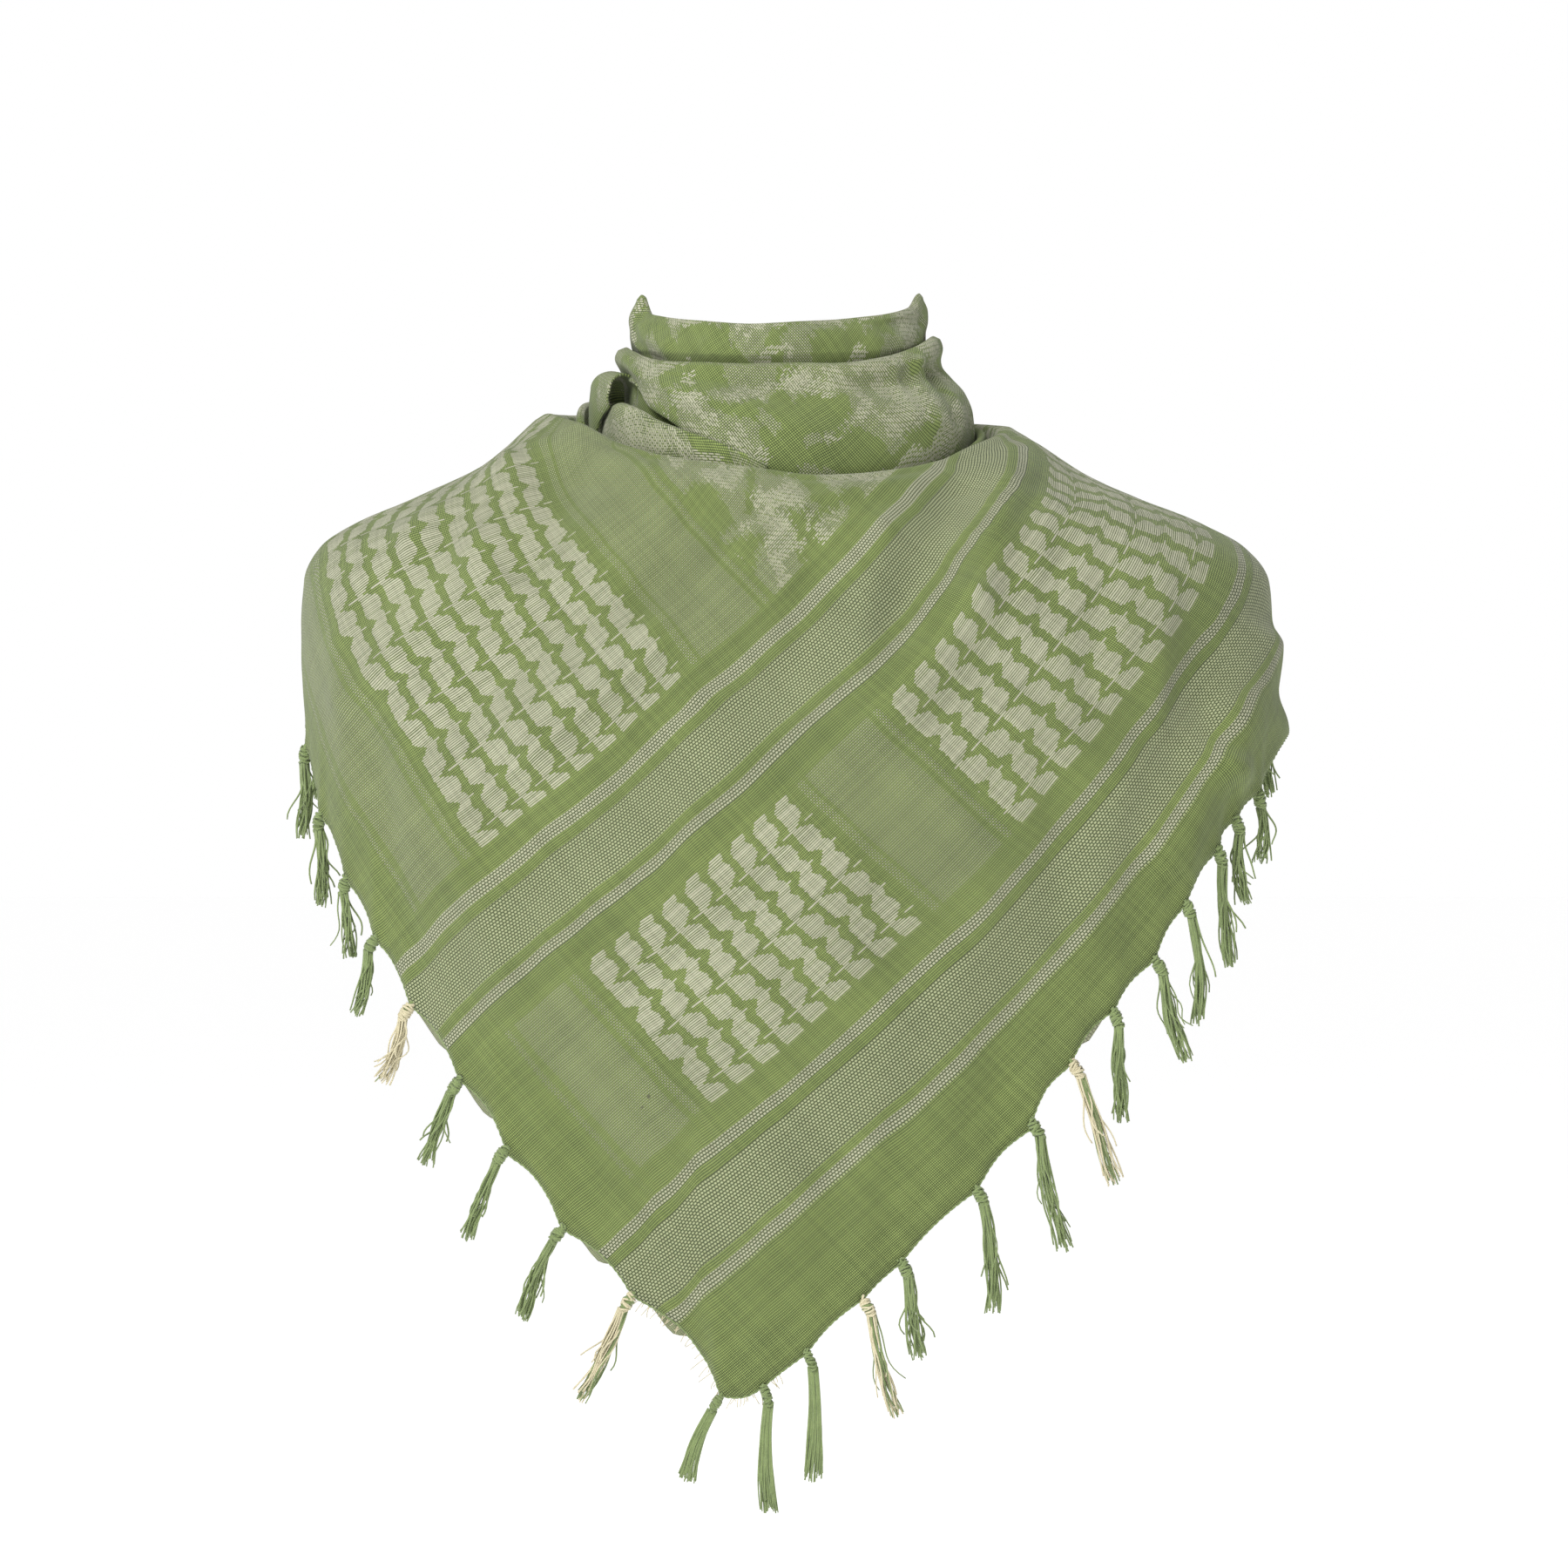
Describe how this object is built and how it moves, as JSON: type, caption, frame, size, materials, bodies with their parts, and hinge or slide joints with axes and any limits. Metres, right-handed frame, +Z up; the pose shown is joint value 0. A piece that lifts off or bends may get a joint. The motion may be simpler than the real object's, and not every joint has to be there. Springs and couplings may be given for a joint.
{
  "type": "woven square scarf",
  "caption": "Square cotton scarf folded corner to corner and wound round the neck, its point hanging on the chest, with striped bands and a knotted tassel fringe",
  "frame": {"origin": "middle of the base of the neck that holds the scarf, inside the collar, level with the foot of the collar's upper turn", "axes": "+Z up; -Y is the wearer's front, where the point hangs; +X is to the right as seen from the front"},
  "size_m": [0.4828, 0.241, 0.5832],
  "materials": {
    "striped_cotton": "matte woven cotton, olive green with beige stripes and net pattern",
    "inner_layer_cotton": "matte woven cotton, paler inner side",
    "collar_cotton": "matte woven cotton, olive green with mottled beige weave",
    "green_yarn": "matte cotton yarn, dark green",
    "beige_yarn": "matte cotton yarn, beige"
  },
  "bodies": {
    "root": {"bib": "striped_cotton", "under_layer": "inner_layer_cotton", "collar_upper": "collar_cotton", "collar_lower": "collar_cotton", "side_roll": "collar_cotton", "nape_wrap": "collar_cotton", "tassel_front_01": "green_yarn", "tassel_front_02": "green_yarn", "tassel_front_03": "green_yarn", "tassel_front_04": "green_yarn", "tassel_front_05": "beige_yarn", "tassel_front_06": "green_yarn", "tassel_front_07": "green_yarn", "tassel_front_08": "green_yarn", "tassel_front_09": "beige_yarn", "tassel_front_10": "green_yarn", "tassel_front_11": "green_yarn", "tassel_front_12": "green_yarn", "tassel_front_13": "beige_yarn", "tassel_front_14": "green_yarn", "tassel_front_15": "green_yarn", "tassel_front_16": "green_yarn", "tassel_front_17": "beige_yarn", "tassel_front_18": "green_yarn", "tassel_front_19": "green_yarn", "tassel_front_20": "green_yarn", "tassel_front_21": "green_yarn", "tassel_front_22": "green_yarn", "tassel_front_23": "green_yarn", "tassel_back_left_1": "green_yarn", "tassel_back_left_2": "green_yarn", "tassel_back_left_3": "beige_yarn", "tassel_back_left_4": "green_yarn", "tassel_back_left_5": "green_yarn", "tassel_back_left_6": "green_yarn", "tassel_back_right_1": "green_yarn", "tassel_back_right_2": "green_yarn", "tassel_back_right_3": "beige_yarn", "tassel_back_right_4": "green_yarn", "tassel_back_right_5": "green_yarn", "tassel_back_right_6": "green_yarn"}
  },
  "joints": []
}
